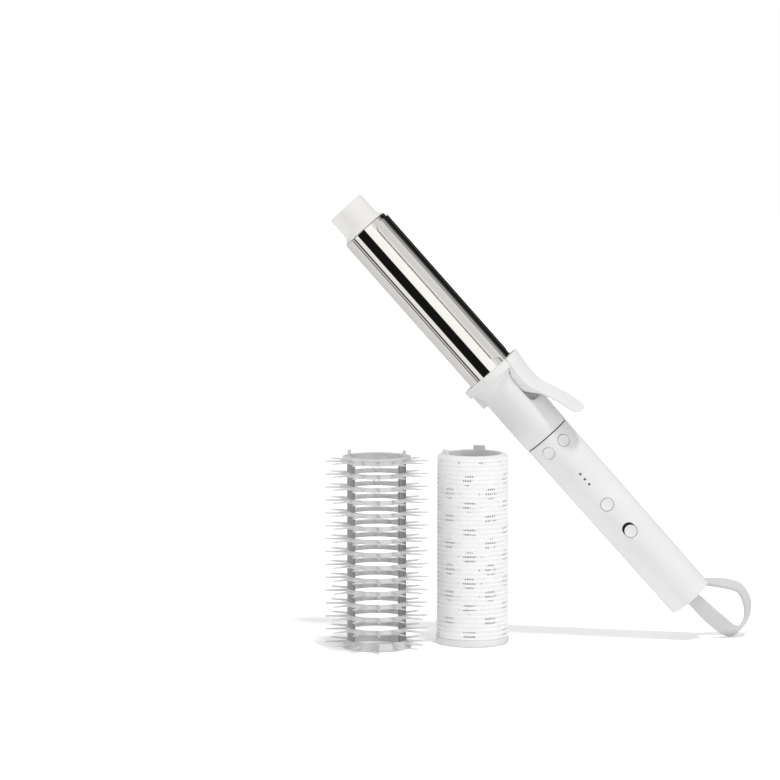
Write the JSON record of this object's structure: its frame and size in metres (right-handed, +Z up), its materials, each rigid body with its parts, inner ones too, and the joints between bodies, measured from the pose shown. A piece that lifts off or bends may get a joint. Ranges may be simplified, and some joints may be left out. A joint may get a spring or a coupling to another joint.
{
  "type": "curling wand with slip-on rollers",
  "caption": "Hot-barrel curling wand with a sprung clip, thumb lever and strap, with a slip-on pin roller and a slip-on self-grip roller standing beside it.",
  "frame": {"origin": "middle of the set's bounding box on the surface that it stands on", "axes": "+Z up; +X from the rollers towards the wand's strap; -Y is the side that the wand's controls face"},
  "size_m": [0.2746, 0.0916, 0.2831],
  "materials": {
    "handle_white": "fine matte moulding",
    "control_white": "fine matte moulding",
    "tip_white": "heat-resistant matte moulding",
    "chrome": "mirror polished",
    "pin_roller_grey": "frosted translucent grey",
    "roller_white": "translucent white",
    "hook_fabric": "fine hook fabric",
    "silicone": "soft matte silicone",
    "black_plastic": "matte black moulding",
    "steel": "plain bright steel",
    "aluminium": "machined",
    "ceramic": "unglazed technical ceramic",
    "board": "green solder mask",
    "cell": "shrink-wrapped metal can",
    "smoke_lens": "smoked clear plastic"
  },
  "bodies": {
    "self_grip_roller": {"grip_core_tube": "roller_white", "hook_sleeve": "hook_fabric", "grip_top_ring": "roller_white", "grip_base_ring": "roller_white"},
    "pin_roller": {"pin_roller_frame": "pin_roller_grey"},
    "wand": {"neck_housing": "handle_white", "handle_shell": "handle_white", "end_cap": "handle_white", "rest_foot": "handle_white", "cool_tip": "tip_white", "barrel_tube": "chrome", "strap_loop": "silicone", "joint_sleeve": "black_plastic", "chassis_tray": "black_plastic", "tact_power": "black_plastic", "tact_plus": "black_plastic", "tact_minus": "black_plastic", "slide_switch": "black_plastic", "slot_cover": "black_plastic", "hinge_bracket": "steel", "hinge_pin": "steel", "lever_spring": "steel", "board_screw_1": "steel", "board_screw_2": "steel", "battery_contact_lower": "steel", "battery_contact_upper": "steel", "battery_link": "steel", "charge_port": "steel", "strap_pin": "steel", "end_screw_1": "steel", "end_screw_2": "steel", "thermal_fuse": "steel", "heater_core_front": "aluminium", "heater_core_back": "aluminium", "ptc_heater": "ceramic", "thermistor": "ceramic", "tip_insulator": "ceramic", "base_insulator": "ceramic", "control_board": "board", "battery_cell_lower": "cell", "battery_cell_upper": "cell", "light_pipe": "smoke_lens"},
    "clip": {"clip_plate": "chrome", "clip_lever": "handle_white", "clip_rivet_1": "steel", "clip_rivet_2": "steel"},
    "power_key": {"power_button": "control_white"},
    "plus_key": {"plus_button": "control_white"},
    "minus_key": {"minus_button": "control_white"},
    "slide_key": {"slide_knob": "control_white"}
  },
  "joints": [
    {"name": "pin_roller_lift", "type": "slide", "parent": "self_grip_roller", "child": "pin_roller", "axis": [0, 0, 1], "range_m": [0, 0.06]},
    {"name": "wand_lift", "type": "slide", "parent": "self_grip_roller", "child": "wand", "axis": [0, 0, 1], "range_m": [0, 0.1]},
    {"name": "clip_hinge", "type": "hinge", "parent": "wand", "child": "clip", "pos_m": [-0.0134, 0.01608, 0.1705], "axis": [0.3971, 0.8653, 0.3058], "range_deg": [0, 10], "stiffness_Nm_per_rad": 0.3, "springref_deg": -28.65},
    {"name": "power_press", "type": "slide", "parent": "wand", "child": "power_key", "axis": [0.0267, 0.9992, -0.0301], "range_m": [0, 0.0004], "stiffness_N_per_m": 500, "springref_m": -0.0008},
    {"name": "plus_press", "type": "slide", "parent": "wand", "child": "plus_key", "axis": [-0.2799, 0.9128, -0.2974], "range_m": [0, 0.0004], "stiffness_N_per_m": 500, "springref_m": -0.0008},
    {"name": "minus_press", "type": "slide", "parent": "wand", "child": "minus_key", "axis": [0.3286, 0.9128, 0.2425], "range_m": [0, 0.0004], "stiffness_N_per_m": 500, "springref_m": -0.0008},
    {"name": "temperature_slide", "type": "slide", "parent": "wand", "child": "slide_key", "axis": [-0.6631, 0.0402, 0.7474], "range_m": [0, 0.0018]}
  ]
}
